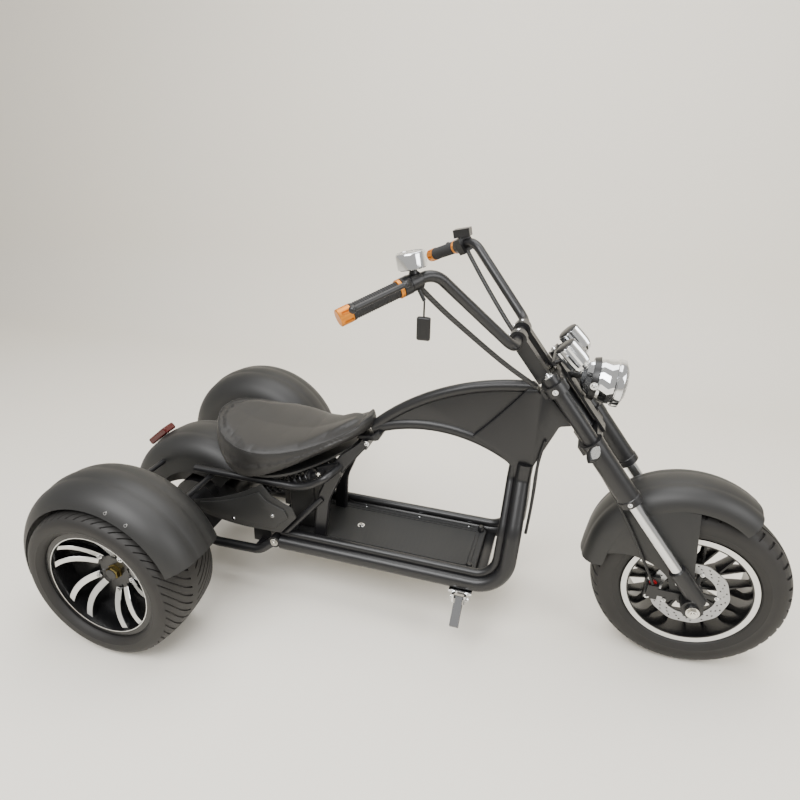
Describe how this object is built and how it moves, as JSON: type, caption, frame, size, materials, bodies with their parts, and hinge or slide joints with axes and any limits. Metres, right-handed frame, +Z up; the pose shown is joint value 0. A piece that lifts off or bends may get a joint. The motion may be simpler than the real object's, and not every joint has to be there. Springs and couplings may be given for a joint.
{
  "type": "electric chopper trike",
  "caption": "Low electric trike with raked fork, high handlebar, arched frame, footboard, broad saddle and wide fendered rear wheels.",
  "frame": {"origin": "on the floor under the middle of the machine's length and width", "axes": "+X forward along the machine's length, +Y to the rider's left, +Z up; the steering is straight ahead"},
  "size_m": [1.9962, 1.0344, 1.1004],
  "materials": {
    "frame_paint": "satin black",
    "deck_rubber": "matte black ribbed mat",
    "guard_plastic": "matte black",
    "black_plastic": "matte black",
    "seat_cover": "matte black",
    "tyre_rubber": "worn black",
    "rim_black": "gloss black with machined edges",
    "disc_steel": "brushed",
    "bright_chrome": "polished",
    "lamp_glass": "clear",
    "cast_black": "cast, satin black",
    "grip_rubber": "matte",
    "orange_plastic": "satin orange",
    "red_plastic": "red lens",
    "cable_sheath": "matte"
  },
  "bodies": {
    "chassis": {"battery_tray": "black_plastic", "controller_box": "black_plastic", "deck": "deck_rubber", "fender_stays": "frame_paint", "footpeg_brackets": "bright_chrome", "frame_cables": "cable_sheath", "lower_frame": "frame_paint", "main_frame": "frame_paint", "plate_bracket": "black_plastic", "rear_axle": "cast_black", "rear_fender_left": "guard_plastic", "rear_fender_right": "guard_plastic", "rear_mudguard": "guard_plastic", "rear_shocks": "cast_black", "reflectors": "red_plastic", "seat_cushion": "seat_cover", "seat_frame": "frame_paint", "seat_pan": "black_plastic", "side_covers": "guard_plastic", "swing_arm": "frame_paint", "tail_lamp": "red_plastic"},
    "steering": {"lower_yoke": "cast_black", "upper_yoke": "cast_black", "fork_tubes": "frame_paint", "fork_sleeves": "frame_paint", "fork_feet": "cast_black", "front_axle": "disc_steel", "front_fender": "guard_plastic", "handlebar": "frame_paint", "risers": "cast_black", "grips": "grip_rubber", "grip_caps": "orange_plastic", "levers": "cast_black", "gauge": "black_plastic", "switch_box": "black_plastic", "looms": "cable_sheath", "brake_hose": "cable_sheath", "brake_caliper": "cast_black", "key_fob": "black_plastic", "headlamp": "bright_chrome", "headlamp_lens": "lamp_glass", "lamp_bracket": "frame_paint", "aux_lamps": "bright_chrome", "indicators": "black_plastic"},
    "front_wheel": {"front_rim": "rim_black", "front_tyre": "tyre_rubber", "front_disc": "disc_steel"},
    "rear_wheel_left": {"rear_rim_left": "rim_black", "rear_tyre_left": "tyre_rubber"},
    "rear_wheel_right": {"rear_rim_right": "rim_black", "rear_tyre_right": "tyre_rubber"},
    "footpeg_left": {"footpeg_left": "cast_black"},
    "footpeg_right": {"footpeg_right": "cast_black"}
  },
  "joints": [
    {"name": "steer", "type": "hinge", "parent": "chassis", "child": "steering", "pos_m": [0.43815, 0, 0.65], "axis": [-0.6157, 0, 0.788], "range_deg": [-35, 35]},
    {"name": "front_wheel_spin", "type": "hinge", "parent": "steering", "child": "front_wheel", "pos_m": [0.75515, 0, 0.243], "axis": [0, 1, 0], "continuous": true},
    {"name": "rear_wheel_left_spin", "type": "hinge", "parent": "chassis", "child": "rear_wheel_left", "pos_m": [-0.70985, 0.406, 0.228], "axis": [0, 1, 0], "continuous": true},
    {"name": "rear_wheel_right_spin", "type": "hinge", "parent": "chassis", "child": "rear_wheel_right", "pos_m": [-0.70985, -0.406, 0.228], "axis": [0, 1, 0], "continuous": true},
    {"name": "footpeg_left_fold", "type": "hinge", "parent": "chassis", "child": "footpeg_left", "pos_m": [0.17815, 0.156, 0.146], "axis": [1, 0, 0], "range_deg": [0, 60]},
    {"name": "footpeg_right_fold", "type": "hinge", "parent": "chassis", "child": "footpeg_right", "pos_m": [0.17815, -0.156, 0.146], "axis": [-1, 0, 0], "range_deg": [0, 60]}
  ]
}
